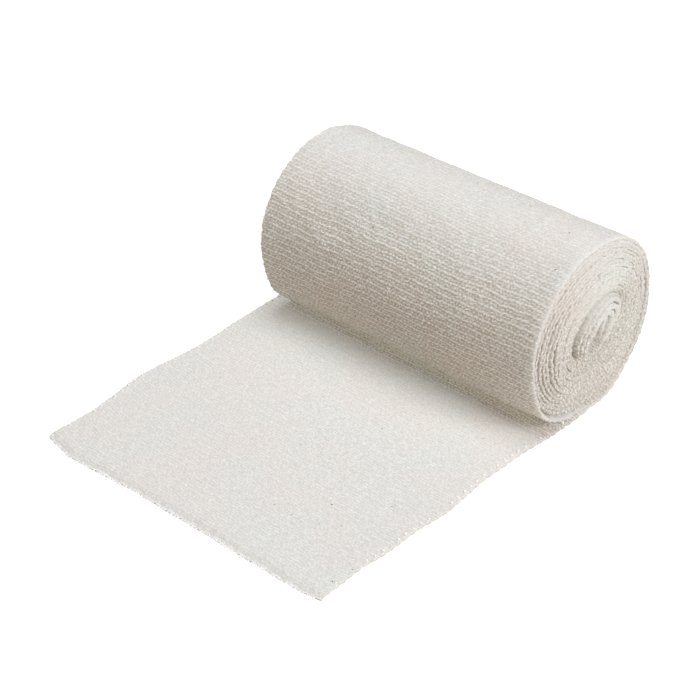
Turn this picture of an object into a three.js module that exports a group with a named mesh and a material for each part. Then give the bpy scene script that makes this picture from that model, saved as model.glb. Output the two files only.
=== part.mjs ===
// Crepe bandage: one strip of cotton crepe, wound on itself into a roll, its free end drawn out flat on the table.
//
// Millimetres, +Z up. X runs along the roll from its far end to its near end, and the free end lies towards -Y.
// The strip is one closed skin, lofted from sections that stand side by side across it. A section starts at the
// cut edge, runs back along the underside, goes up the back of the roll, over it and down its front into the
// crevice, and returns along the top of the free end. The heights and depths below are taken from the roll's axis.

import * as THREE from "three";

const clothThickness = 1.2; // one relaxed layer with its nap
const settling = 0.45; // how far the roll has sunk into its own flat spot
const creviceGap = 0.4; // the wedge between roll and free end stops where it gets this narrow
const fullTurn = Math.PI * 2;

const acrossSteps = 20; // sections across the strip
const roundSteps = 66; // steps up the back of the roll and down its front
const lengthSteps = 26; // steps along the free end

// The roll, from its far end to its near end: half its depth and height, where its middle lies, and how far the
// outer turn has slackened and swells forward at the foot of the roll.
const rollRows = [
  { across: 0.0, depth: 26.8, height: 26.6, middle: -1.3, swell: 1.9 },
  { across: 0.3, depth: 26.6, height: 26.55, middle: -0.5, swell: 2.2 },
  { across: 0.5, depth: 26.5, height: 26.5, middle: 0.0, swell: 2.6 },
  { across: 0.7, depth: 26.3, height: 26.5, middle: 0.5, swell: 3.0 },
  { across: 0.87, depth: 26.1, height: 26.6, middle: 1.0, swell: 2.9 },
  { across: 1.0, depth: 26.0, height: 26.7, middle: 1.3, swell: 1.4 },
];
const swellAngle = THREE.MathUtils.degToRad(317); // from the foot of the roll, up its back and over
const swellSpread = THREE.MathUtils.degToRad(24);

// The two selvedges of the free end, from the cut edge back to the foot of the roll.
const selvedgeRows = [
  { y: -105, far: -48.2, near: 49.9 },
  { y: -90, far: -48.1, near: 49.0 },
  { y: -80, far: -49.3, near: 49.9 },
  { y: -69, far: -50.6, near: 49.6 },
  { y: -56, far: -49.8, near: 50.2 },
  { y: -46, far: -49.4, near: 49.4 },
  { y: -32, far: -50.0, near: 48.8 },
  { y: -14, far: -50.4, near: 49.8 },
];
// Under tension the wound strip is narrower than the free end, which has sprung back to its full width.
const woundFar = -44.6;
const woundNear = 49.5;
const narrowingArc = THREE.MathUtils.degToRad(75); // the outer turn has drawn in by here

// The cut edge, across the strip: how far it lies from the roll's axis.
const cutRows = [
  { across: 0.0, reach: 103.6 },
  { across: 0.06, reach: 105.6 },
  { across: 0.12, reach: 106.6 },
  { across: 0.25, reach: 105.5 },
  { across: 0.5, reach: 104.7 },
  { across: 0.93, reach: 104.5 },
  { across: 1.0, reach: 103.7 },
];

// The oval core that the strip is folded on, seen at the end of the roll.
const core = { y: 5.4, z: 24.9, halfLength: 10.6, halfHeight: 6.2, tilt: THREE.MathUtils.degToRad(30) };

// The end of the roll, from the outer turn to the middle of the core: how proud the turns stand, along X. Between
// the skin (share 1) and the core's outline (share 0) the turns change from round to oval; below 0 is the core.
const endRows = [
  { share: 0.985, proud: 0.0, sunkInFront: 0.0 },
  { share: 0.87, proud: 0.0, sunkInFront: 0.0 },
  { share: 0.83, proud: -0.8, sunkInFront: -1.8 },
  { share: 0.66, proud: -0.7, sunkInFront: -0.9 },
  { share: 0.45, proud: -0.3, sunkInFront: 0.0 },
  { share: 0.2, proud: -0.6, sunkInFront: 0.0 },
  { share: 0.04, proud: -1.8, sunkInFront: 0.0 },
  { share: -0.12, proud: 0.2, sunkInFront: 0.0 },
  { share: -0.5, proud: 0.5, sunkInFront: 0.0 },
  { share: -1.0, proud: -0.8, sunkInFront: 0.0 },
];
const sunkAngle = THREE.MathUtils.degToRad(295); // the turns inside the outer ones have sunk most at this angle
const sunkSpread = THREE.MathUtils.degToRad(38);

// Unevenness of soft cloth, as long shallow waves.
const rollWaves = [
  { height: 0.22, across: 3.1, round: 2, start: 0.4 },
  { height: 0.16, across: 5.3, round: 3, start: 2.1 },
];
const topWaves = [
  { height: 0.12, across: 4.3, along: 3.7, start: 0.0 },
  { height: 0.08, across: 9.1, along: 7.3, start: 1.3 },
];

// Reads one column of a table at a place between its rows, along a smooth curve through them.
function read(rows, key, column, place) {
  const last = rows.length - 1;
  const at = THREE.MathUtils.clamp(place, rows[0][key], rows[last][key]);
  let i = 0;
  while (i < last - 1 && at > rows[i + 1][key]) {
    i += 1;
  }
  const slope = (a, b) => (rows[b][column] - rows[a][column]) / (rows[b][key] - rows[a][key]);
  const span = rows[i + 1][key] - rows[i][key];
  const slopeIn = slope(Math.max(i - 1, 0), i + 1) * span;
  const slopeOut = slope(i, Math.min(i + 2, last)) * span;
  const t = (at - rows[i][key]) / span;
  const from = rows[i][column];
  const to = rows[i + 1][column];
  const bend = (slopeIn - to + from) * (1 - t) + (to - from - slopeOut) * t;
  return from + (to - from) * t + t * (1 - t) * bend;
}

// A soft hump in the angle, 1 at its middle.
function bell(angle, middle, spread) {
  const apart = Math.atan2(Math.sin(angle - middle), Math.cos(angle - middle));
  return Math.exp(-((apart / spread) ** 2));
}

// The height and depth of a turn that lies so far inside the roll's largest outline, at an angle from the roll's
// foot, up its back, over it and down its front. It goes no lower than the layer that it rests on.
function turnPoint(across, angle, inside, restsAt) {
  let out = read(rollRows, "across", "swell", across) * bell(angle, swellAngle, swellSpread) - inside;
  for (const wave of rollWaves) {
    out += wave.height * Math.sin(wave.across * across + wave.round * angle + wave.start) * Math.sin(angle / 2) ** 2;
  }
  const middle = read(rollRows, "across", "middle", across);
  const depth = read(rollRows, "across", "depth", across);
  const height = read(rollRows, "across", "height", across);
  return {
    y: middle + (depth + out) * Math.sin(angle),
    z: Math.max(height - settling - (height + out) * Math.cos(angle), restsAt),
  };
}

// The skin of the roll is the outer turn, which winds in by the cloth's thickness on its way round.
function skinPoint(across, angle) {
  return turnPoint(across, angle, (clothThickness * angle) / fullTurn, angle < Math.PI ? 0 : clothThickness);
}

// The angle at which the skin, coming down the front, is still the crevice's gap above the free end.
function creviceAngle(across) {
  let low = Math.PI * 1.5;
  let high = fullTurn;
  for (let i = 0; i < 30; i += 1) {
    const middle = (low + high) / 2;
    if (skinPoint(across, middle).z - clothThickness > creviceGap) {
      low = middle;
    } else {
      high = middle;
    }
  }
  return low;
}

// One section: the underside, the skin of the roll and the top of the free end, each point with its height, its
// depth and the two selvedges that it lies between.
function section(across) {
  const reach = read(cutRows, "across", "reach", across);
  const endAngle = creviceAngle(across);
  const crevice = skinPoint(across, endAngle);
  const selvedges = (y) => ({ far: read(selvedgeRows, "y", "far", y), near: read(selvedgeRows, "y", "near", y) });
  const footSelvedges = selvedges(crevice.y);

  const under = [];
  const top = [];
  for (let i = 0; i <= lengthSteps; i += 1) {
    const along = i / lengthSteps;
    const y = THREE.MathUtils.lerp(-reach, crevice.y, along);
    let z = clothThickness;
    for (const wave of topWaves) {
      z += wave.height * Math.sin(wave.across * across + wave.along * along + wave.start) * Math.sin(Math.PI * along);
    }
    under.push({ y, z: 0, ...selvedges(y) });
    top.push({ y, z, ...selvedges(y) });
  }

  const skin = [];
  for (let i = 0; i <= roundSteps; i += 1) {
    const angle = (endAngle * i) / roundSteps;
    const drawn = THREE.MathUtils.smoothstep(angle, 0, narrowingArc);
    skin.push({
      ...skinPoint(across, angle),
      angle,
      far: THREE.MathUtils.lerp(footSelvedges.far, woundFar, drawn),
      near: THREE.MathUtils.lerp(footSelvedges.near, woundNear, drawn),
    });
  }
  return { under, skin, top };
}

const vertices = [];
const triangles = [];

function addVertex(x, y, z) {
  vertices.push(x, y, z);
  return vertices.length / 3 - 1;
}

// Joins two rows of vertices with quads; the second row lies to the left of the first, seen from outside.
function joinRows(right, left) {
  for (let i = 0; i + 1 < right.length; i += 1) {
    triangles.push(right[i], right[i + 1], left[i + 1]);
    triangles.push(right[i], left[i + 1], left[i]);
  }
}

function addSection(across) {
  const { under, skin, top } = section(across);
  const place = (point) => addVertex(THREE.MathUtils.lerp(point.far, point.near, across), point.y, point.z);
  return { under: under.map(place), skin: skin.map(place), top: top.map(place), skinPoints: skin };
}

// Closes one end of the roll with rings of points that go from the skin to the core, and the edge of the free end
// with a strip of quads.
function closeEnd({ under, skin, top, skinPoints }, across, woundX, facesNear) {
  const order = facesNear ? (row) => row : (row) => [...row].reverse();
  joinRows(order(under), order(top));

  // The free end's last two corners lie under the roll, so they share the arc between the crevice and the foot.
  const footArc = fullTurn - skinPoints.at(-1).angle;
  const rim = [
    { index: under.at(-1), angle: -0.4 * footArc },
    ...skin.map((index, i) => ({ index, angle: skinPoints[i].angle })),
    { index: top.at(-1), angle: -0.7 * footArc },
  ];
  const closed = (ring) => order([...ring, ring[0]]);
  let outer = rim.map(({ index }) => index);
  for (const { share, proud, sunkInFront } of endRows.slice(0, -1)) {
    const inner = rim.map(({ angle }) => {
      const turn = turnPoint(across, angle, clothThickness, clothThickness);
      const bearing = Math.atan2(turn.y - core.y, core.z - turn.z);
      const turned = bearing - core.tilt;
      const coreRadius = 1 / Math.hypot(Math.sin(turned) / core.halfLength, Math.cos(turned) / core.halfHeight);
      const radius = coreRadius * Math.min(1 + share, 1);
      const outwards = Math.max(share, 0);
      return addVertex(
        woundX + proud + sunkInFront * bell(angle, sunkAngle, sunkSpread),
        THREE.MathUtils.lerp(core.y + radius * Math.sin(bearing), turn.y, outwards),
        THREE.MathUtils.lerp(core.z - radius * Math.cos(bearing), turn.z, outwards),
      );
    });
    joinRows(closed(outer), closed(inner));
    outer = inner;
  }
  const middle = addVertex(woundX + endRows.at(-1).proud, core.y, core.z);
  const around = closed(outer);
  for (let i = 0; i + 1 < around.length; i += 1) {
    triangles.push(around[i], around[i + 1], middle);
  }
}

const sections = [];
for (let i = 0; i <= acrossSteps; i += 1) {
  sections.push(addSection(i / acrossSteps));
}
for (let i = 0; i < acrossSteps; i += 1) {
  const loop = ({ under, skin, top }) => [...under, ...skin, ...[...top].reverse(), under[0]];
  joinRows(loop(sections[i]), loop(sections[i + 1]));
}
closeEnd(sections[0], 0, woundFar, false);
closeEnd(sections[acrossSteps], 1, woundNear, true);

const geometry = new THREE.BufferGeometry();
geometry.setAttribute("position", new THREE.Float32BufferAttribute(vertices, 3));
geometry.setIndex(triangles);

// The origin goes under the middle of the whole bandage.
geometry.computeBoundingBox();
const middle = geometry.boundingBox.getCenter(new THREE.Vector3());
geometry.translate(-middle.x, -middle.y, -geometry.boundingBox.min.z);
geometry.computeVertexNormals();

const unbleachedCrepe = new THREE.MeshStandardMaterial({ color: "#e9e5db", roughness: 0.95, metalness: 0 });
const bandage = new THREE.Mesh(geometry, unbleachedCrepe);
bandage.name = "bandage";

const crepeBandage = new THREE.Group();
crepeBandage.add(bandage);

export default crepeBandage;
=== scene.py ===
import math

import bpy
import numpy as np
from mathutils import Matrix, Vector


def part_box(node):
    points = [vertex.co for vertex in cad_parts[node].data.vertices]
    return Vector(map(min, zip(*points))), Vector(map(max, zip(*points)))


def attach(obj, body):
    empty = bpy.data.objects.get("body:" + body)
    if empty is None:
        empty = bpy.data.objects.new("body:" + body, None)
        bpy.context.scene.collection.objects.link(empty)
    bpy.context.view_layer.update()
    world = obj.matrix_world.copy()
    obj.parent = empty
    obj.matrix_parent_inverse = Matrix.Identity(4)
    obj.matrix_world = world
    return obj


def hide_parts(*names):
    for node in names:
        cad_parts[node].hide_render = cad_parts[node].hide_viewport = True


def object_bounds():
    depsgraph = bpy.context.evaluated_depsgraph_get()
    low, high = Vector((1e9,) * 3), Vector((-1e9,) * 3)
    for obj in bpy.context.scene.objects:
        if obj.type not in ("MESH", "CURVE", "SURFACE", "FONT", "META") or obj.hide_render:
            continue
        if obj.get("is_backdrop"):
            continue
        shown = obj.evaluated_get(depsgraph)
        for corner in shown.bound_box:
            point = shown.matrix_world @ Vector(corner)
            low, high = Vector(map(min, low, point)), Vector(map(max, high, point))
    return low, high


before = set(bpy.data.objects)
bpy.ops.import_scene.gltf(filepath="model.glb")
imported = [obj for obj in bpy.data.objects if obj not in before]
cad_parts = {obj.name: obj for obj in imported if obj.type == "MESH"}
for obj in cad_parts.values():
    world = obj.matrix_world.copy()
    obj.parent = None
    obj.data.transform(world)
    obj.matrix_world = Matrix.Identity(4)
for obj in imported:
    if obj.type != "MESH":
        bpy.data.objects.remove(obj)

cad_box = [list(corner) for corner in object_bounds()]

# The outer turn of the roll: the crepe strip goes from the foot of the roll up its back, over it and down
# its front. It is woven of overtwisted cotton, so it shrinks lengthways into fine ribs when it is let go.
# All sizes are in millimetres, with heights and depths taken from the line on which the roll stands.
FULL_TURN = 2 * math.pi
CLOTH = 1.0  # one relaxed layer, without its nap
NAP = 0.2  # how far crinkles and nap stand proud of a layer
SETTLING = 0.45  # how far the roll has sunk into its own flat spot
ROLL = {
    "across": [0.0, 0.3, 0.5, 0.7, 0.87, 1.0],
    "depth": [26.8, 26.6, 26.5, 26.3, 26.1, 26.0],
    "height": [26.6, 26.55, 26.5, 26.5, 26.6, 26.7],
    "middle": [-1.3, -0.5, 0.0, 0.5, 1.0, 1.3],
    "swell": [1.7, 0.9, 1.1, 1.4, 1.8, 1.2],
}
SWELL_ANGLE = math.radians(317)  # from the foot of the roll, up its back and over
SWELL_SPREAD = math.radians(24)
ROLL_WAVES = [(0.22, 3.1, 2, 0.4), (0.16, 5.3, 3, 2.1)]  # height, waves across, waves round, start
FREE_END = {
    "y": [-105, -90, -80, -69, -56, -46, -32, -14],
    "far": [-49.0, -48.3, -49.3, -50.6, -49.8, -49.4, -50.0, -50.4],
    "near": [49.9, 49.0, 49.9, 49.6, 50.2, 49.4, 48.8, 49.8],
}
CUT_EDGE = {
    "across": [0.0, 0.06, 0.12, 0.25, 0.5, 0.93, 1.0],
    "reach": [104.2, 105.7, 106.6, 105.5, 104.7, 104.5, 103.7],
}
WOUND_FAR, WOUND_NEAR = -44.6, 49.5  # the strip is narrower where it was wound under tension
NARROWING = math.radians(75)  # the outer turn has drawn in by here
PICK = 0.965  # pitch of the weft rows
RIB = 2 * PICK  # every second row stands higher
CROWN = 1.28  # pitch of the yarn crowns along a row
LEAN = 0.5  # how far the twist leans the crowns over, in crowns for each row
DRAWN_SMOOTH, SMOOTH_SPREAD = math.radians(183), math.radians(48)  # the top, where the crinkles are low
box_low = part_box("bandage")[0]
FOOT_X = 1000 * box_low[0] - min(FREE_END["far"])
FOOT_Y = 1000 * box_low[1] + max(CUT_EDGE["reach"])
LOOP = 2.9  # from one weft loop to the next along a selvedge


def read(rows, key, column, place):
    """A column of a table at places between its rows, along a smooth curve through them."""
    k, v = np.array(rows[key], float), np.array(rows[column], float)
    at = np.clip(place, k[0], k[-1])
    i = np.clip(np.searchsorted(k, at, side="left") - 1, 0, len(k) - 2)
    before, after = np.maximum(i - 1, 0), np.minimum(i + 2, len(k) - 1)
    span = k[i + 1] - k[i]
    slope_in = (v[i + 1] - v[before]) / (k[i + 1] - k[before]) * span
    slope_out = (v[after] - v[i]) / (k[after] - k[i]) * span
    t = (at - k[i]) / span
    rise = v[i + 1] - v[i]
    bend = (slope_in - rise) * (1 - t) + (rise - slope_out) * t
    return v[i] + rise * t + t * (1 - t) * bend


def bell(angle, middle, spread):
    """A soft hump in the angle, 1 at its middle."""
    apart = np.arctan2(np.sin(angle - middle), np.cos(angle - middle))
    return np.exp(-((apart / spread) ** 2))


def smooth(place, start, end):
    t = np.clip((place - start) / (end - start), 0, 1)
    return t * t * (3 - 2 * t)


def lumps(u, v, seed):
    """Smooth unevenness from -1 to 1, with about one lump to a unit each way."""
    grid = np.random.default_rng(seed).uniform(-1, 1, (128, 128))
    u, v = np.broadcast_arrays(u, v)
    i, j = np.floor(u).astype(int), np.floor(v).astype(int)
    a, b = smooth(u - i, 0, 1), smooth(v - j, 0, 1)
    corner = lambda di, dj: grid[(i + di) % 128, (j + dj) % 128]
    low = corner(0, 0) * (1 - a) + corner(1, 0) * a
    high = corner(0, 1) * (1 - a) + corner(1, 1) * a
    return low * (1 - b) + high * b


def threads_at(x, along):
    """Places on the cloth, counted in threads: crowns across it and weft rows along it. Both wander."""
    crowns = x / CROWN + 0.34 * lumps(x / 3.4, along / 4, 3) + 0.26 * lumps(x / 1.5, along / 1.3, 4)
    rows = along / PICK + 0.25 * lumps(x / 9, along / 11, 1) + 0.17 * lumps(x / 2.4, along / 2.6, 2)
    return crowns + LEAN * rows, rows


def crinkles(crowns, rows):
    """Height of the crinkles of the weave, from 0 in the grooves to 1 on the crowns of the yarn."""
    ridge, crown = np.sin(math.pi * rows) ** 2, np.sin(math.pi * crowns) ** 2
    rib = 0.72 + 0.28 * np.cos(math.pi * (rows - 0.5))
    return ridge * (0.45 + 0.55 * crown) * rib * (0.75 + 0.25 * lumps(1.3 * crowns, 1.1 * rows, 5))


def turn_point(across, angle, inside, rests_at):
    """Depth and height of a turn so far inside the roll's outline, no lower than the layer it rests on."""
    out = read(ROLL, "across", "swell", across) * bell(angle, SWELL_ANGLE, SWELL_SPREAD) - inside
    for height, waves_across, waves_round, start in ROLL_WAVES:
        wave = np.sin(waves_across * across + waves_round * angle + start)
        out = out + height * wave * np.sin(angle / 2) ** 2
    middle = read(ROLL, "across", "middle", across)
    depth = read(ROLL, "across", "depth", across)
    height = read(ROLL, "across", "height", across)
    y = middle + (depth + out) * np.sin(angle)
    z = np.maximum(height - SETTLING - (height + out) * np.cos(angle), rests_at)
    return y, z


def columns_of(skin, face):
    """The points round a section of the strip: along its skin from far to near edge, round the near edge,
    back along its other face and round the far edge. Each is (share across, mm past that place)."""
    rounding = [0.28, 0.72]
    points = [(share, past, 0.0) for share, past in skin]
    points += [(1.0, 0.0, depth) for depth in rounding]
    points += [(share, past, 1.0) for share, past in face[::-1]]
    points += [(0.0, 0.0, depth) for depth in rounding[::-1]]
    share, past, depth = np.array(points).T
    return {"share": share, "past": past, "depth": depth, "skin": len(skin), "face": len(face)}


def even_columns(count, margin=0.25):
    shares = np.linspace(0, 1, count)
    return [(s, margin * (1 - 2 * s) if s in (0.0, 1.0) else 0.0) for s in shares]


def close_end(faces, skin_row, face_row, x, last):
    """Closes one end of the strip with triangles between its skin and its other face."""
    i = j = 0
    while i < len(skin_row) - 1 or j < len(face_row) - 1:
        skin_next = i < len(skin_row) - 1 and (
            j == len(face_row) - 1 or x[skin_row[i + 1]] <= x[face_row[j + 1]]
        )
        if skin_next:
            corners = [skin_row[i], skin_row[i + 1], face_row[j]]
            i += 1
        else:
            corners = [face_row[j], skin_row[i], face_row[j + 1]]
            j += 1
        faces.append(corners[::-1] if last else corners)


def lay_strip(name, columns, along, skin, edges, thickness, relief, crinkle_and_painted_shade):
    """A length of the strip as a closed mesh. skin is the depth and height of its skin face, edges its far
    and near selvedge, relief how far points stand out of the faces, and the last how deep the crinkles are,
    which also sets the painted shade in their grooves and, above 1, painted creamy light in the crease."""
    y, z = skin
    step_y, step_z = np.gradient(y, axis=0), np.gradient(z, axis=0)
    size = np.hypot(step_y, step_z)
    out_y, out_z = step_z / size, -step_y / size
    share, past, depth = columns["share"], columns["past"], columns["depth"]
    far, near = edges
    x = far + (near - far) * share + past
    crowns, rows = threads_at(x, along[:, None])
    proud = relief(x, along[:, None], crinkles(crowns, rows))
    lift = np.where(depth > 0.5, -1, 1) * proud - depth * thickness
    height = np.maximum(z + out_z * lift, 0)
    points = np.stack([x + FOOT_X, y + out_y * lift + FOOT_Y, height], axis=2) / 1000

    lengths, around = y.shape
    index = np.arange(lengths * around).reshape(lengths, around)
    right = np.roll(index, -1, axis=1)
    quads = np.stack([index[:-1], index[1:], right[1:], right[:-1]], axis=2)
    faces = quads.reshape(-1, 4).tolist()
    skin_row = [around - 1, *range(columns["skin"] + 1)]
    face_row = [around - 2, *range(around - 3, columns["skin"], -1)]
    close_end(faces, skin_row, face_row, x[0], last=False)
    shift = (lengths - 1) * around
    offset_x = np.concatenate([np.zeros(shift), x[-1]])
    close_end(faces, [shift + i for i in skin_row], [shift + i for i in face_row], offset_x, last=True)

    # The threads are the cloth's own coordinates. They run on over the edges, which are cloth too.
    over_edge = np.where((depth > 0) & (depth < 1), depth * 0.8, 0.0)
    threads = np.stack(np.broadcast_arrays(crowns + over_edge, rows), axis=2).reshape(-1, 2)
    mesh = bpy.data.meshes.new(name)
    mesh.from_pydata(points.reshape(-1, 3).tolist(), [], faces)
    corners = np.empty(len(mesh.loops), np.int32)
    mesh.loops.foreach_get("vertex_index", corners)
    mesh.uv_layers.new(name="threads").data.foreach_set("uv", threads[corners].astype(np.float32).ravel())
    # How deep the crinkles are, kept for the material: it drives the bump and is the mask for the painted
    # shade in the grooves and, above 1, for the painted light in the crease.
    deep = np.broadcast_to(crinkle_and_painted_shade, y.shape).astype(np.float32).ravel()
    mesh.attributes.new("crinkle_and_shade", "FLOAT", "POINT").data.foreach_set("value", deep)
    mesh.polygons.foreach_set("use_smooth", [True] * len(mesh.polygons))
    piece = bpy.data.objects.new(name, mesh)
    bpy.context.collection.objects.link(piece)
    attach(piece, "root")
    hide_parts("bandage")
    return piece


def skin_of_outer_turn(across, angle):
    inside = (CLOTH + NAP) * angle / FULL_TURN
    rests_at = np.where(angle < math.pi, 0.0, CLOTH + NAP)
    return turn_point(across, angle, inside, rests_at)


def outer_crinkle(angle):
    """How deep the crinkles of the outer turn are, from 0 to 1, and with them how much painted shade their
    grooves get.
    """
    return smooth(angle, -NARROWING, NARROWING) * (1 - 0.6 * bell(angle, DRAWN_SMOOTH, SMOOTH_SPREAD))


def by_selvedge(share, width):
    """1 at the near selvedge, which is woven closer and crinkles less, down to 0 in the cloth."""
    return np.exp(-(((1 - share) * (WOUND_NEAR - WOUND_FAR) / width) ** 2))


def outer_relief(x, along, weave):
    soft = 0.2 * lumps(x / 6, along / 6, 11) + 0.11 * lumps(x / 2.2, along / 2.6, 12)
    grain = 0.07 * lumps(x / 1.2, along / 0.9, 13)
    return soft + outer_crinkle(outer_turned)[:, None] * (0.15 * (weave - 0.35) + grain)


def free_selvedges(y):
    return read(FREE_END, "y", "far", y), read(FREE_END, "y", "near", y)


def evenly(turned, spacing):
    """Angles a spacing apart along the strip, out of closely set ones, and the length up to each."""
    y, z = wound_skin(np.full(turned.shape, 0.7), turned)
    length = np.concatenate([[0], np.cumsum(np.hypot(np.diff(y), np.diff(z)))])
    at = np.linspace(0, length[-1], int(length[-1] / spacing) + 1)
    return np.interp(at, length, turned), at


def scallops(along, turn):
    """How far a selvedge wanders out and in, mm, with the loops that the weft makes as it turns back."""
    return 0.22 * lumps(along / 9, turn * 3.7, 21) + 0.12 * np.cos(FULL_TURN * along / LOOP)


# Inside the outer turn the strip goes on inwards, turn by turn, to the oval core that it was folded on. The
# first turn and a half were wound firmly; inside them a slack turn leaves a gap, and the rest have settled.
TURNS = 17.5  # down to the core
LAST_TURN = 23.0
FIRM_TURNS = 1.6
FIRM_PITCH = 1.05
SLACK = [(0.12, 0, 400), (0.7, 222, 34), (1.0, 298, 42)]  # mm, angle and spread in degrees
CORE = {
    "turn": [17.5, 19.0, 20.5, 22.0, 23.0],
    "y": [5.4, 5.2, 4.7, 4.2, 4.0],
    "z": [24.9, 24.5, 23.6, 22.8, 22.4],
    "half_length": [10.6, 9.0, 7.1, 5.1, 3.7],
    "half_height": [6.2, 4.8, 3.3, 1.9, 0.9],
    "tilt": [30, 33, 42, 55, 60],
}
# How proud a turn's edge stands at the end of the roll, and how much deeper it has sunk in front.
END = {
    "turn": [0, 1.4, 1.9, 6.0, 9.0, 13.5, 16.8, 17.8, 20.0, 23.0],
    "proud": [0.0, 0.0, -0.3, -0.3, -0.1, -0.8, -2.0, -0.6, 0.5, -2.4],
    "sunk": [0.0, 0.0, -2.1, -1.2, 0.0, 0.0, 0.0, 0.0, 0.0, 0.0],
}
SUNK_ANGLE, SUNK_SPREAD = math.radians(290), math.radians(52)
CREVICES = [(-3.2, 19.5, 2.2, 0.35), (14.0, 30.0, 2.2, 0.2), (3.6, 21.7, 1.0, 0.6)]  # y, z, reach, opening


def core_point(turned, bearing):
    turn = turned / FULL_TURN
    centre_y, centre_z = read(CORE, "turn", "y", turn), read(CORE, "turn", "z", turn)
    angle = bearing - np.radians(read(CORE, "turn", "tilt", turn))
    long_side = np.sin(angle) / read(CORE, "turn", "half_length", turn)
    short_side = np.cos(angle) / read(CORE, "turn", "half_height", turn)
    radius = 1 / np.hypot(long_side, short_side)
    return centre_y + radius * np.sin(bearing), centre_z - radius * np.cos(bearing)


def skin_of_inner_turns(across, turned):
    """Depth and height of the skin of the turns inside the first."""
    outline_y, outline_z = turn_point(across, turned, 0.0, 0.0)
    bearing = np.arctan2(outline_y - CORE["y"][0], CORE["z"][0] - outline_z)
    core_y, core_z = core_point(turned, bearing)
    turn = turned / FULL_TURN
    room = np.hypot(outline_y - core_y, outline_z - core_z)
    slack = sum(mm * bell(turned, math.radians(at), math.radians(spread)) for mm, at, spread in SLACK)
    inner_pitch = (room - FIRM_TURNS * FIRM_PITCH - slack) / (TURNS - FIRM_TURNS)
    inside = FIRM_PITCH * np.minimum(turn, FIRM_TURNS) + inner_pitch * np.maximum(turn - FIRM_TURNS, 0)
    inside = inside + slack * smooth(turn, FIRM_TURNS - 0.25, FIRM_TURNS + 0.35)
    outwards = np.clip(1 - inside / room, 0, 1)
    return core_y + (outline_y - core_y) * outwards, core_z + (outline_z - core_z) * outwards


def wound_skin(across, turned):
    outer_y, outer_z = skin_of_outer_turn(across, np.minimum(turned, FULL_TURN))
    inner_y, inner_z = skin_of_inner_turns(across, np.maximum(turned, FULL_TURN))
    first = turned < FULL_TURN
    return np.where(first, outer_y, inner_y), np.where(first, outer_z, inner_z)


def wound_edges(turned, along):
    turn = turned / FULL_TURN
    sunk = read(END, "turn", "sunk", turn) * bell(turned, SUNK_ANGLE, SUNK_SPREAD)
    shift = read(END, "turn", "proud", turn) + sunk
    footed = smooth(turned, 0, NARROWING)
    foot_far, foot_near = free_selvedges(FREE_END["y"][-1])
    far = foot_far + (WOUND_FAR - foot_far) * footed + shift + scallops(along, 2 * turn)
    near = foot_near + (WOUND_NEAR - foot_near) * footed + shift + scallops(along, 2 * turn + 50)
    return far[:, None], near[:, None]


OUTER_SPACING = 0.375  # from one row of points to the next, along the strip
OUTER_THICKNESS = 0.85  # the outer turn is under tension, which draws it thinner

outer_turned, outer_along = evenly(np.linspace(0, FULL_TURN, 2000), OUTER_SPACING)
outer_columns = columns_of(even_columns(210), even_columns(10))
outer_skin = wound_skin(outer_columns["share"][None, :], outer_turned[:, None])
outer_turn = lay_strip(
    "outer_turn",
    outer_columns,
    outer_along,
    outer_skin,
    wound_edges(outer_turned, outer_along),
    OUTER_THICKNESS,
    outer_relief,
    outer_crinkle(outer_turned)[:, None] * (1 - 0.6 * by_selvedge(outer_columns["share"], 1.2)),
)

edge_columns = [(0.0, mm) for mm in (0.2, 0.6, 1.3, 3.0, 8.0)] + [(0.5, 0.0)]
edge_columns += [(1.0, -mm) for mm in (8.0, 3.0, 1.3, 0.6, 0.2)]
inner_columns = columns_of(edge_columns, edge_columns)
INNER_SPACING = 0.44
inner_steps = np.linspace(FULL_TURN, LAST_TURN * FULL_TURN, 40000)
inner_turned, inner_along = evenly(inner_steps, INNER_SPACING)
inner_pieces = []
for name, first, last in (("turns_beneath", 1.0, 8.5), ("turns_to_core", 8.5, LAST_TURN)):
    here = (inner_turned >= first * FULL_TURN) & (inner_turned <= last * FULL_TURN)
    turned, along = inner_turned[here], inner_along[here]
    share = inner_columns["share"][None, :]
    skin_y, skin_z = skin_of_inner_turns(share, turned[:, None])
    next_y, next_z = skin_of_inner_turns(share, turned[:, None] + FULL_TURN)
    turn = turned[:, None] / FULL_TURN
    room = np.where(turn < LAST_TURN - 1, np.hypot(skin_y - next_y, skin_z - next_z), 1.0)
    thickness = np.clip(0.92 * room, 0.45, 1.1 + 0.5 * smooth(turn, 8, 14))
    loosened = smooth(turn, FIRM_TURNS, FIRM_TURNS + 0.4) * (1 - smooth(turn, 5, 9))
    thickness = thickness * (1 - 0.1 * loosened * bell(turned[:, None], SUNK_ANGLE, SUNK_SPREAD))
    for crevice_y, crevice_z, crevice_reach, opening in CREVICES:
        apart = np.hypot(skin_y - crevice_y, skin_z - crevice_z) / crevice_reach
        thickness = thickness * (1 - opening * np.exp(-(apart**2)))
    crimp = 0.15 * np.cos(FULL_TURN * along / RIB)[:, None]
    wander = 0.18 * lumps(along / 7, turned / FULL_TURN * 1.3, 31)[:, None]
    wander = wander + 0.2 * lumps(along / 2.4, turned / FULL_TURN * 1.3, 32)[:, None]

    def inner_relief(x, along, weave, crimp=crimp, wander=wander):
        side = np.where(inner_columns["depth"] > 0.5, -1, 1)
        return side * (crimp + wander) + 0.10 * (weave - 0.4)

    edges = wound_edges(turned, along)
    # The crinkles, and the painted shade in their grooves, are deepest near the foot of each turn and
    # shallowest over the top, so the ends of the turns are painted lighter at the top.
    crinkle_and_painted_shade = 0.18 + 0.62 * (0.5 + 0.5 * np.cos(turned + 0.4))[:, None]
    inner_pieces.append(
        lay_strip(name, inner_columns, along, (skin_y, skin_z), edges, thickness, inner_relief, crinkle_and_painted_shade)
    )

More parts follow.
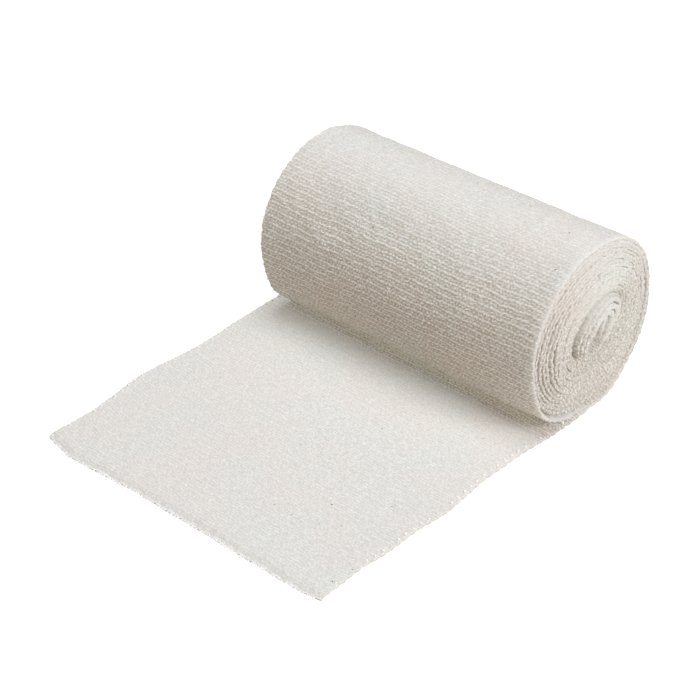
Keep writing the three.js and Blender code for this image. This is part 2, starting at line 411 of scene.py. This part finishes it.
# The free end, drawn out flat on the table. It has sprung back to its full width and its crinkles have
# opened, so it has a soft pebbled face, and is gathered only where it runs in under the roll. It was cut
# across with scissors, which pressed the cut edge thin.
FREE_LENGTH = 106.0


def gathered(along):
    """1 where the crease under the roll shows, and 0 on the flat and right under the roll."""
    from_roll = FREE_LENGTH - along
    return (1 - smooth(from_roll, 12, 20)) * smooth(from_roll, 0, 7)


TOP_WAVES = [(0.12, 4.3, 3.7, 0.0), (0.08, 9.1, 7.3, 1.3)]  # height, waves across, waves along, start


def free_relief(x, along, weave):
    pebbles = 0.07 * lumps(x / 1.1, along / 1.0, 41) + 0.06 * lumps(x / 2.7, along / 2.4, 42)
    gathers = np.abs(np.cos(math.pi * threads_at(x, along)[1] / 2)) ** 0.7 - 0.6
    gathers = gathered(along) * (0.42 * gathers + 0.1 * weave)
    raised = np.where(free_columns["depth"] == 0.0, 0.0, 0.05 * weave + pebbles + gathers)
    across, way = (x + 50) / 100, along / FREE_LENGTH
    for height, waves_across, waves_along, start in TOP_WAVES:
        wave = np.sin(waves_across * across + waves_along * way + start)
        middle = np.sin(math.pi * np.clip(way, 0, 1))
        raised = raised + height * wave * middle * (free_columns["depth"] > 0.9)
    return raised


free_columns = columns_of(even_columns(12), even_columns(212))
FREE_STEPS = 340
free_way = np.linspace(0, 1, FREE_STEPS)[:, None]
snips = 0.3 * lumps(free_columns["share"] * 90, 0.5, 43)
reach = (read(CUT_EDGE, "across", "reach", free_columns["share"]) + snips)[None, :]
foot_line = read(ROLL, "across", "middle", free_columns["share"])
free_y = -reach * (1 - free_way) + foot_line * smooth(free_way, 0.85, 1)
free_along = np.linspace(0, FREE_LENGTH, FREE_STEPS)
edge_y = free_y[:, 0]
far, near = free_selvedges(edge_y)
far = (far + scallops(free_along, 0))[:, None]
near = (near + scallops(free_along, 50))[:, None]
# Past 1, the value deepens the crinkles of the cloth gathered into the crease and paints creamy light on
# it. Both fade out towards the selvedges.
inwards = smooth(free_columns["share"], 0, 0.12) * smooth(1 - free_columns["share"], 0, 0.12)
loose_end = lay_strip(
    "loose_end",
    free_columns,
    free_along,
    (free_y, np.zeros_like(free_y)),
    (far, near),
    CLOTH * (0.26 + 0.74 * smooth(free_along, 0, 3))[:, None],
    free_relief,
    0.35 + (0.45 + 0.65 * inwards) * gathered(free_along)[:, None],
)


# Unbleached cotton crepe: matt, slightly fuzzy yarn in a warm off-white, with painted shade in the grooves
# of the crinkles, darker and creamier than the crowns, and a faint mottle from the raw fibre.
def linear(hex_colour):
    """An sRGB hex colour as the linear colour that the shader takes."""
    parts = [int(hex_colour[i : i + 2], 16) / 255 for i in (1, 3, 5)]
    return [p / 12.92 if p <= 0.04045 else ((p + 0.055) / 1.055) ** 2.4 for p in parts] + [1.0]


def add(tree, kind, inputs=None, **settings):
    """Adds a node with its settings and gives its outputs. An input is a value or a socket to link from."""
    node = tree.nodes.new(kind)
    for key, value in settings.items():
        setattr(node, key, value)
    for key, value in (inputs or {}).items():
        if isinstance(value, bpy.types.NodeSocket):
            tree.links.new(value, node.inputs[key])
        else:
            node.inputs[key].default_value = value
    return node.outputs


crepe = bpy.data.materials.new("unbleached_cotton_crepe")
crepe.use_nodes = True
tree = crepe.node_tree
tree.nodes.clear()
threads = add(tree, "ShaderNodeUVMap", uv_map="threads")["UV"]
place = add(tree, "ShaderNodeTexCoord")["Object"]
# This reads how deep the crinkles are. It drives the bump and is also the mask for the painted shade in the
# grooves and, above 1, for the painted crease light.
crinkle_and_shade = add(tree, "ShaderNodeAttribute", attribute_name="crinkle_and_shade")["Fac"]
# A wave of this scale has one crest to a thread.
one_thread = {"Vector": threads, "Scale": math.pi / 10}
one_thread |= {"Distortion": 1.3, "Detail": 1.0, "Detail Scale": 4.0}
weft = add(tree, "ShaderNodeTexWave", one_thread, bands_direction="Y")["Fac"]
yarn_crowns = add(tree, "ShaderNodeTexWave", one_thread, bands_direction="X")["Fac"]
crown_range = {"Value": yarn_crowns, "To Min": 0.35, "To Max": 1.0}
yarn_crowns = add(tree, "ShaderNodeMapRange", crown_range)["Result"]
weave = add(tree, "ShaderNodeMath", {0: weft, 1: yarn_crowns}, operation="MULTIPLY")[0]
# Every second row of weft stands higher where the cloth has deep crinkles, which makes its ribs. Where it
# is drawn out flat they open into soft pebbles. They shape both the bump and the painted shade in the
# grooves.
one_rib = one_thread | {"Scale": math.pi / 20, "Phase Offset": math.pi / 2, "Distortion": 0.8}
ribs = add(tree, "ShaderNodeTexWave", one_rib, bands_direction="Y")["Fac"]
ribs = add(tree, "ShaderNodeMapRange", {"Value": ribs, "To Min": -0.09, "To Max": 0.09})["Result"]
pebbles = add(tree, "ShaderNodeTexNoise", {"Vector": threads, "Scale": 0.75, "Detail": 2.0})["Fac"]
pebble_range = {"Value": pebbles, "From Min": 0.3, "From Max": 0.7, "To Min": -0.16, "To Max": 0.16}
pebbles = add(tree, "ShaderNodeMapRange", pebble_range)["Result"]
form = add(tree, "ShaderNodeMix", {"Factor": crinkle_and_shade, 2: pebbles, 3: ribs})[0]
weave_depth = add(tree, "ShaderNodeMapRange", {"Value": crinkle_and_shade, "To Min": 0.2, "To Max": 0.38})["Result"]
twists = add(tree, "ShaderNodeTexNoise", {"Vector": threads, "Scale": 2.0, "Detail": 2.0})["Fac"]
fibres = add(tree, "ShaderNodeTexNoise", {"Vector": place, "Scale": 1800.0, "Detail": 2.0})["Fac"]
lint = add(tree, "ShaderNodeMath", {0: fibres, 1: 0.9}, operation="MULTIPLY")[0]
twisted = add(tree, "ShaderNodeMath", {0: twists, 1: 1.1, 2: lint}, operation="MULTIPLY_ADD")[0]
formed = add(tree, "ShaderNodeMath", {0: form, 1: twisted}, operation="ADD")[0]
height = add(tree, "ShaderNodeMath", {0: weave, 1: weave_depth, 2: formed}, operation="MULTIPLY_ADD")[0]
# Painted shade: the grooves of the weave are coloured darker and creamier than the crowns, more so where
# the crinkles are deep.
raised = add(tree, "ShaderNodeMapRange", {"Value": height, "From Min": 0.9, "From Max": 1.41})["Result"]
painted_groove_shade = add(tree, "ShaderNodeMix", {"Factor": crinkle_and_shade, 2: 0.85, 3: raised})[0]
# Painted bounce light: where the cloth is gathered into the crease its colour is lightened and tinted
# creamier, standing in for light passing from fold to fold.
painted_crease_light = add(tree, "ShaderNodeMapRange", {"Value": crinkle_and_shade, "From Min": 1.0, "From Max": 1.5})["Result"]
painted_shade_and_light = add(tree, "ShaderNodeMath", {0: painted_crease_light, 1: 0.35, 2: painted_groove_shade}, operation="MULTIPLY_ADD")[0]
# The darker colour is painted shade for the grooves; the lighter one is the cloth's own colour on the
# crowns.
yarn = {"Factor": painted_shade_and_light, 6: linear("#B6A792"), 7: linear("#EEEDE8")}
yarn_colour_with_painted_shade = add(tree, "ShaderNodeMix", yarn, data_type="RGBA")[2]
patches = add(tree, "ShaderNodeTexNoise", {"Vector": place, "Scale": 45.0, "Detail": 3.0})["Fac"]
patches = add(tree, "ShaderNodeMapRange", {"Value": patches, "From Min": 0.3, "From Max": 0.7})["Result"]
mottle = {"Factor": patches, 6: linear("#FFF8F4"), 7: linear("#FBFBF8")}
mottle = add(tree, "ShaderNodeMix", mottle, data_type="RGBA")[2]
colour = {"Factor": 1.0, 6: yarn_colour_with_painted_shade, 7: mottle}
colour = add(tree, "ShaderNodeMix", colour, data_type="RGBA", blend_type="MULTIPLY")[2]
# Painted crease light: a creamy tint multiplied in where the cloth is gathered into the crease.
colour = {"Factor": painted_crease_light, 6: colour, 7: linear("#FFFBE6")}
colour = add(tree, "ShaderNodeMix", colour, data_type="RGBA", blend_type="MULTIPLY")[2]
relief = add(tree, "ShaderNodeMath", {0: height, 1: crinkle_and_shade}, operation="MULTIPLY")[0]
bump = add(tree, "ShaderNodeBump", {"Height": relief, "Strength": 1.0, "Distance": 0.00022})["Normal"]
cloth = {"Base Color": colour, "Normal": bump, "Roughness": 0.95, "Specular IOR Level": 0.15}
cloth |= {"Sheen Weight": 0.15, "Sheen Roughness": 0.5}
shaded = add(tree, "ShaderNodeBsdfPrincipled", cloth)["BSDF"]
add(tree, "ShaderNodeOutputMaterial", {"Surface": shaded})
for piece in (outer_turn, *inner_pieces, loose_end):
    piece.data.materials.append(crepe)


# The knots in which the weft turns back at the selvedges, of soft cotton yarn, plumper than the cloth, with
# a whiter colour than the cloth's, which is painted highlight. They were woven in with it. The frayed ends
# and the nap are set out along it in the same way.
KNOT = [(-0.36, 0, 0.0), (-0.14, 0, 0.2), (0.14, 0, 0.2), (0.36, 0, 0.0)]
KNOT_THICKNESS = [0.24, 0.66, 0.66, 0.24]
KNOT_RISE = 0.45  # how far above the middle of the edge a knot sits, in thicknesses of the cloth
KNOT_LEAN = 0.4  # how far a knot leans outwards
JUST_OFF_TABLE = 0.00001  # metres

yarn_with_painted_highlight = bpy.data.materials.new("cotton_yarn_with_painted_highlight")
yarn_with_painted_highlight.use_nodes = True
yarn_tree = yarn_with_painted_highlight.node_tree
yarn_tree.nodes.clear()
# The yarn's colour is whiter than the cloth's: painted highlight for the light that knots, loose ends and
# nap catch.
yarn_shader = {"Base Color": linear("#F7F5F0"), "Roughness": 0.95, "Specular IOR Level": 0.1}
yarn_shader |= {"Sheen Weight": 0.2}
yarn_shaded = add(yarn_tree, "ShaderNodeBsdfPrincipled", yarn_shader)["BSDF"]
add(yarn_tree, "ShaderNodeOutputMaterial", {"Surface": yarn_shaded})

strewing = bpy.data.node_groups.new("set_out_yarn", "GeometryNodeTree")
for socket_name, socket_kind in (
    ("Places", "NodeSocketGeometry"),
    ("Yarn", "NodeSocketObject"),
    ("Smallest", "NodeSocketFloat"),
    ("Largest", "NodeSocketFloat"),
    ("Seed", "NodeSocketInt"),
    ("Material", "NodeSocketMaterial"),
):
    strewing.interface.new_socket(socket_name, in_out="INPUT", socket_type=socket_kind)
strewing.interface.new_socket("Yarns", in_out="OUTPUT", socket_type="NodeSocketGeometry")
given = add(strewing, "NodeGroupInput")
out = add(strewing, "GeometryNodeInputNamedAttribute", {"Name": "out"}, data_type="FLOAT_VECTOR")[0]
aside = add(strewing, "GeometryNodeInputNamedAttribute", {"Name": "aside"}, data_type="FLOAT_VECTOR")[0]
axes = {"Primary Axis": out, "Secondary Axis": aside}
facing = add(strewing, "FunctionNodeAxesToRotation", axes, primary_axis="Z", secondary_axis="X")[0]
sizes = {2: given["Smallest"], 3: given["Largest"], "Seed": given["Seed"]}
size = add(strewing, "FunctionNodeRandomValue", sizes, data_type="FLOAT")[1]
shape = add(strewing, "GeometryNodeObjectInfo", {"Object": given["Yarn"]})["Geometry"]
set_out = {"Points": given["Places"], "Instance": shape, "Rotation": facing, "Scale": size}
set_out = add(strewing, "GeometryNodeInstanceOnPoints", set_out)["Instances"]
made = add(strewing, "GeometryNodeRealizeInstances", {"Geometry": set_out})["Geometry"]
made = {"Geometry": made, "Material": given["Material"]}
made = add(strewing, "GeometryNodeSetMaterial", made)["Geometry"]
add(strewing, "NodeGroupOutput", {"Yarns": made})


def twist_yarn(path, thickness, sides):
    """A short closed length of yarn along a path in mm."""
    path = np.array(path, float)
    ahead = np.gradient(path, axis=0)
    ahead /= np.linalg.norm(ahead, axis=1)[:, None]
    side = np.cross(ahead, (0.0, 1.0, 0.0))
    side /= np.linalg.norm(side, axis=1)[:, None]
    over = np.cross(side, ahead)
    around = np.linspace(0, FULL_TURN, sides, endpoint=False)[:, None]
    radius = np.broadcast_to(thickness, len(path)) / 2
    rings = [
        p + r * (np.cos(around) * s + np.sin(around) * o) for p, s, o, r in zip(path, side, over, radius)
    ]
    corner = np.arange(len(path) * sides).reshape(-1, sides)
    following = np.roll(corner, -1, axis=1)
    sleeve = np.stack([corner[:-1], corner[1:], following[1:], following[:-1]], axis=2)
    ends = [corner[0].tolist(), corner[-1, ::-1].tolist()]
    mesh = bpy.data.meshes.new("yarn")
    mesh.from_pydata((np.concatenate(rings) / 1000).tolist(), [], sleeve.reshape(-1, 4).tolist() + ends)
    mesh.polygons.foreach_set("use_smooth", [True] * len(mesh.polygons))
    yarn = bpy.data.objects.new("yarn", mesh)
    bpy.context.collection.objects.link(yarn)
    return yarn


def points_of(piece):
    """The points of a piece and the way that each faces."""
    points, facing = np.empty((2, len(piece.data.vertices), 3))
    piece.data.vertices.foreach_get("co", points.ravel())
    piece.data.vertex_normals.foreach_get("vector", facing.ravel())
    return points, facing


def set_out_yarn(name, places, out, aside, yarn, smallest, largest, seed, material):
    """A copy of the yarn at each place, with its height along out and its width along aside."""
    mesh = bpy.data.meshes.new(name)
    mesh.from_pydata(places.tolist(), [], [])
    for key, directions in (("out", out), ("aside", aside)):
        mesh.attributes.new(key, "FLOAT_VECTOR", "POINT").data.foreach_set("vector", directions.ravel())
    piece = bpy.data.objects.new(name, mesh)
    bpy.context.collection.objects.link(piece)
    modifier = piece.modifiers.new("set_out", "NODES")
    modifier.node_group = strewing
    values = {"Yarn": yarn, "Smallest": smallest, "Largest": largest, "Seed": seed, "Material": material}
    for item in strewing.interface.items_tree:
        if item.name in values:
            modifier[item.identifier] = values[item.name]
    laid = piece.evaluated_get(bpy.context.evaluated_depsgraph_get())
    piece.data = bpy.data.meshes.new_from_object(laid)
    piece.modifiers.clear()
    bpy.data.objects.remove(yarn)
    # Yarn that would dip below the table is pressed flat on it.
    points = points_of(piece)[0]
    points[:, 2] = np.maximum(points[:, 2], JUST_OFF_TABLE)
    piece.data.vertices.foreach_set("co", points.ravel())
    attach(piece, "root")
    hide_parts("bandage")
    return piece


def selvedge(piece, columns, spacing, between, end, kept, set_in):
    """Places a pitch apart along a selvedge, with the ways up out of the cloth and along it. end is -1 far
    or 1 near, kept the share of the knots that show, and set_in how far inside the edge they sit, in mm."""
    rows = points_of(piece)[0].reshape(-1, columns["depth"].size, 3)
    edge = columns["skin"] - 1 if end > 0 else 0
    back = columns["skin"] + 2 if end > 0 else -3
    up = (rows[:, edge] - rows[:, back]) * (-1 if piece is loose_end else 1)
    line = (rows[:, edge] + rows[:, back]) / 2 + KNOT_RISE * up - (0.001 * set_in * end, 0, 0)
    ahead = np.gradient(line, axis=0)
    at = np.arange(2, len(line) - 2, between / spacing).round().astype(int)
    at = at[chance.random(len(at)) < kept]
    up = up / np.linalg.norm(up, axis=1)[:, None]
    return line[at], up[at] + (KNOT_LEAN * end, 0, 0), ahead[at]


turns_beneath, turns_to_core = inner_pieces
chance = np.random.default_rng(8)
free_spacing = FREE_LENGTH / FREE_STEPS
for name, piece, columns, spacing, between, kept, set_in, smallest, largest in (
    ("knots_of_free_end", loose_end, free_columns, free_spacing, LOOP, 0.7, 0.7, 0.75, 1.25),
    ("knots_of_outer_turn", outer_turn, outer_columns, OUTER_SPACING, LOOP, 0.8, -0.1, 0.4, 0.7),
    ("knots_of_turns_beneath", turns_beneath, inner_columns, INNER_SPACING, RIB, 0.75, -0.1, 0.3, 0.6),
    ("knots_of_turns_to_core", turns_to_core, inner_columns, INNER_SPACING, RIB, 0.75, -0.1, 0.35, 0.65),
):
    both = [selvedge(piece, columns, spacing, between, end, kept, set_in) for end in (-1, 1)]
    places, up, ahead = (np.concatenate(part) for part in zip(*both))
    knot = twist_yarn(KNOT, KNOT_THICKNESS, 5)
    set_out_yarn(name, places, up, ahead, knot, smallest, largest, 5, yarn_with_painted_highlight)

# The warp threads at the cut edge have frayed out past the last pick of weft into a thin pale fringe.
FRAY = 520
free_points, free_facing = points_of(loose_end)
cut = free_points.reshape(FREE_STEPS, -1, 3)[0]
cut_at = chance.uniform(0.02, 0.98, FRAY)
order = np.argsort(cut[:, 0])
fray_x = cut[order[0], 0] + cut_at * (cut[order[-1], 0] - cut[order[0], 0])
fray_y = np.interp(fray_x, cut[order, 0], cut[order, 1]) + 0.0003
fray_places = np.stack([fray_x, fray_y, chance.uniform(0.0002, 0.0004, FRAY)], axis=1)
fray_out = [chance.normal(0, 0.4, FRAY), np.full(FRAY, -1.0), chance.uniform(0.0, 0.2, FRAY)]
fray_out = np.stack(fray_out, axis=1)
fray_aside = np.tile([1.0, 0.0, 0.0], (FRAY, 1))
fray_path = [(0, 0, 0), (0.05, 0, 0.5), (0.2, 0, 1.0), (0.12, 0, 1.5)]
thread_end = twist_yarn(fray_path, [0.2, 0.18, 0.14, 0.07], 5)
frayed = set_out_yarn("frayed_ends", fray_places, fray_out, fray_aside, thread_end, 0.4, 1.25, 6, yarn_with_painted_highlight)

# The nap: fine curled fibres that stand out of the yarn all over, and most of all along the edges of the
# turns. Like the knots, they are cotton.
inner_depth = inner_columns["depth"]
inner_edges = (inner_depth > 0) & (inner_depth < 1)
places, out = [], []
for piece, count, shown in (
    (outer_turn, 2200, outer_columns["depth"] == 0),
    (turns_beneath, 900, inner_edges),
    (turns_to_core, 900, inner_edges),
    (loose_end, 900, free_columns["depth"] == 1),
):
    points, facing = points_of(piece)
    clear = np.tile(shown, len(points) // len(shown)) & (points[:, 2] > 0.0008)
    chosen = chance.choice(np.flatnonzero(clear), count, replace=False)
    places.append(points[chosen])
    out.append(facing[chosen])
places, out = np.concatenate(places), np.concatenate(out)
out = out + chance.normal(0, 0.35, out.shape)
out[:, 2] = np.abs(out[:, 2])
fibre_path = [(0, 0, -0.1), (0.05, 0, 0.25), (0.35, 0, 0.45), (0.8, 0, 0.4), (1.05, 0, 0.15)]
fibre = twist_yarn(fibre_path, 0.045, 3)
set_out_yarn("nap_fibres", places, out, chance.normal(0, 1, out.shape), fibre, 0.6, 1.5, 7, yarn_with_painted_highlight)

# Flecks of seed husk, left in raw cotton and spun into the yarn.
HUSKS_ON_FREE_END = [
    (16.3, -85.0), (22.3, -85.5), (26.8, -75.4), (38.5, -65.7), (34.8, -80.0), (29.7, -83.1), (48.0, -90.8),
    (47.2, -97.1), (14.8, -42.6), (4.0, -62.5), (-33.4, -55.4), (37.7, -28.2), (10.9, -16.8),
]  # across and away from the foot of the roll
HUSKS_ON_ROLL = [(45.1, 208.2), (-18.8, 217.0), (-9.5, 228.4), (39.9, 178.3)]  # across, degrees round

husk_skin = bpy.data.materials.new("cotton_seed_husk")
husk_skin.use_nodes = True
husk_tree = husk_skin.node_tree
husk_tree.nodes.clear()
husk_shader = {"Base Color": linear("#7D7266"), "Roughness": 0.9, "Specular IOR Level": 0.1}
husk_shaded = add(husk_tree, "ShaderNodeBsdfPrincipled", husk_shader)["BSDF"]
add(husk_tree, "ShaderNodeOutputMaterial", {"Surface": husk_shaded})

roll_points, roll_facing = points_of(outer_turn)
wanted_places = [(x, y, CLOTH) for x, y in HUSKS_ON_FREE_END]
for x, degrees in HUSKS_ON_ROLL:
    share = (x - WOUND_FAR) / (WOUND_NEAR - WOUND_FAR)
    wanted_places.append((x, *skin_of_outer_turn(share, math.radians(degrees))))
all_points = np.concatenate([free_points, roll_points])
all_facing = np.concatenate([free_facing, roll_facing])
wanted_places = (np.array(wanted_places, float) + (FOOT_X, FOOT_Y, 0)) / 1000
nearest = [np.linalg.norm(all_points - place, axis=1).argmin() for place in wanted_places]
husk_path = [(-0.22, 0, 0.02), (-0.1, 0, 0.05), (0.1, 0, 0.05), (0.22, 0, 0.02)]
husk = twist_yarn(husk_path, [0.05, 0.2, 0.22, 0.05], 6)
husk_aside = chance.normal(0, 1, (len(nearest), 3))
husk_points, husk_facing = all_points[nearest], all_facing[nearest]
set_out_yarn("seed_husks", husk_points, husk_facing, husk_aside, husk, 0.8, 1.2, 9, husk_skin)

# The studio: a pale table top, broad soft light from above, and a light on the end of the roll.
floor_mesh = bpy.data.meshes.new("table_top")
half = 3.0
floor_corners = [(-half, -half, 0), (half, -half, 0), (half, half, 0), (-half, half, 0)]
floor_mesh.from_pydata(floor_corners, [], [(0, 1, 2, 3)])
table_top = bpy.data.objects.new("table_top", floor_mesh)
table_top.location.z = -0.00002
bpy.context.collection.objects.link(table_top)
pale = bpy.data.materials.new("pale_table")
pale.use_nodes = True
pale_shader = pale.node_tree.nodes["Principled BSDF"]
pale_shader.inputs["Base Color"].default_value = linear("#FCFAF6")
pale_shader.inputs["Emission Color"].default_value = linear("#FFF8EC")
pale_shader.inputs["Emission Strength"].default_value = 0.24
pale_shader.inputs["Roughness"].default_value = 1.0
pale_shader.inputs["Specular IOR Level"].default_value = 0.0
floor_mesh.materials.append(pale)
table_top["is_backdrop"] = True


def soft_light(name, place, aim, size, power, colour, casts_shadow):
    light = bpy.data.lights.new(name, "AREA")
    light.shape, light.size, light.energy = "DISK", size, power
    light.color = linear(colour)[:3]
    light.use_shadow = casts_shadow
    lamp = bpy.data.objects.new(name, light)
    lamp.location = place
    lamp.rotation_euler = (Vector(aim) - Vector(place)).to_track_quat("-Z", "Y").to_euler()
    bpy.context.collection.objects.link(lamp)


KEY_COLOUR = "#E8F2FF"
soft_light("top_light", (-0.05, -0.10, 1.4), (0, 0, 0), 0.9, 10.3, KEY_COLOUR, True)
soft_light("top_fill", (-0.05, 0.18, 1.4), (0, 0, 0), 0.9, 8.4, KEY_COLOUR, False)
soft_light("end_light", (1.3, 0.1, 0.9), (0, 0, 0.02), 0.8, 11.9, "#EDF0FC", True)
world = bpy.data.worlds.new("pale_room")
bpy.context.scene.world = world
world.use_nodes = True
world.node_tree.nodes["Background"].inputs["Color"].default_value = linear("#FFECCC")
world.node_tree.nodes["Background"].inputs["Strength"].default_value = 0.145
bpy.context.scene.view_settings.view_transform = "Standard"

# The camera, at the height and side from which the photograph was taken.
EYE, TARGET = (0.32592, -0.35544, 0.35054), (-0.039585, 0.044385, -0.023143)
LENS, SENSOR = 113.14, 36.0
camera_data = bpy.data.cameras.new("camera")
camera_data.lens, camera_data.sensor_width = LENS, SENSOR
camera = bpy.data.objects.new("camera", camera_data)
camera.location = EYE
camera.rotation_euler = (Vector(TARGET) - Vector(EYE)).to_track_quat("-Z", "Y").to_euler()
bpy.context.collection.objects.link(camera)
bpy.context.scene.camera = camera

{"cad": cad_box, "visual": [list(corner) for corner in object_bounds()]}
